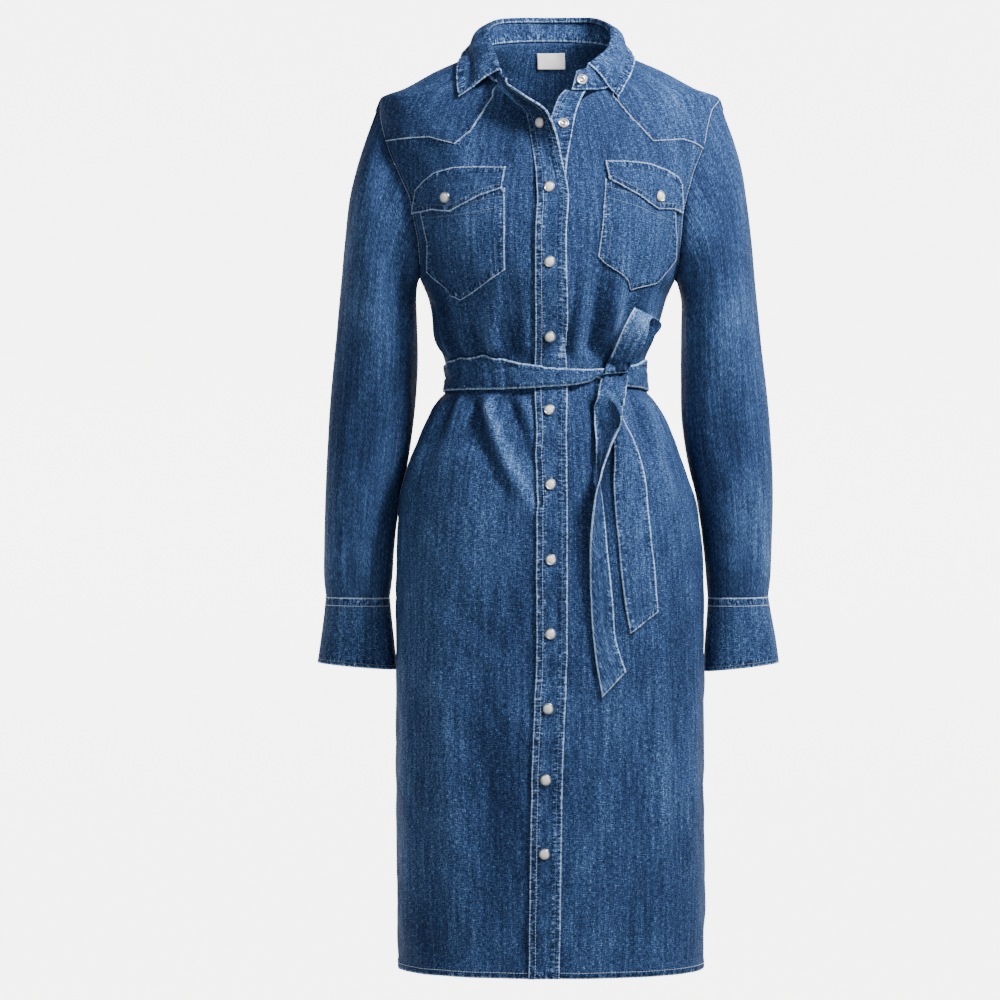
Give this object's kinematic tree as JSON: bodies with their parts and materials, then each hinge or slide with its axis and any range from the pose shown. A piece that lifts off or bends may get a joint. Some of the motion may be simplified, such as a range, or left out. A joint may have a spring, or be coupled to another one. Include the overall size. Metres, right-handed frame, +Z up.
{
  "type": "shirt dress",
  "caption": "Hollow worn-shape denim western shirt dress with long sleeves, open snapped neck, pointed yokes, flap pockets and a tied sash at the waist.",
  "frame": {"origin": "the middle of the neck, level with the shoulder points, where the wearer holds the dress", "axes": "+Z up along the dress, +X to the wearer's left, +Y to the wearer's back"},
  "size_m": [0.521, 0.2471, 1.0737],
  "materials": {
    "denim": "mid-blue washed twill",
    "label_cloth": "plain white woven label",
    "snap": "pearly domed cap in a thin metal ring"
  },
  "bodies": {
    "root": {"front_right": "denim", "front_left": "denim", "back": "denim", "yoke_back": "denim", "yoke_front_right": "denim", "yoke_front_left": "denim", "placket": "denim", "placket_under": "denim", "sleeve_right": "denim", "sleeve_left": "denim", "cuff_right": "denim", "cuff_left": "denim", "collar_stand": "denim", "collar_leaf": "denim", "pocket_right": "denim", "pocket_left": "denim", "flap_right": "denim", "flap_left": "denim", "belt": "denim", "belt_knot": "denim", "belt_loop": "denim", "belt_tail_long": "denim", "belt_tail_short": "denim", "label": "label_cloth", "snap_front_1": "snap", "snap_front_2": "snap", "snap_front_3": "snap", "snap_front_4": "snap", "snap_front_5": "snap", "snap_front_6": "snap", "snap_front_7": "snap", "snap_front_8": "snap", "snap_front_9": "snap", "snap_front_10": "snap", "snap_neck_cap": "snap", "snap_neck_stud": "snap", "snap_pocket_right": "snap", "snap_pocket_left": "snap", "snap_stand_stud": "snap", "snap_stand_cap": "snap"}
  },
  "joints": []
}
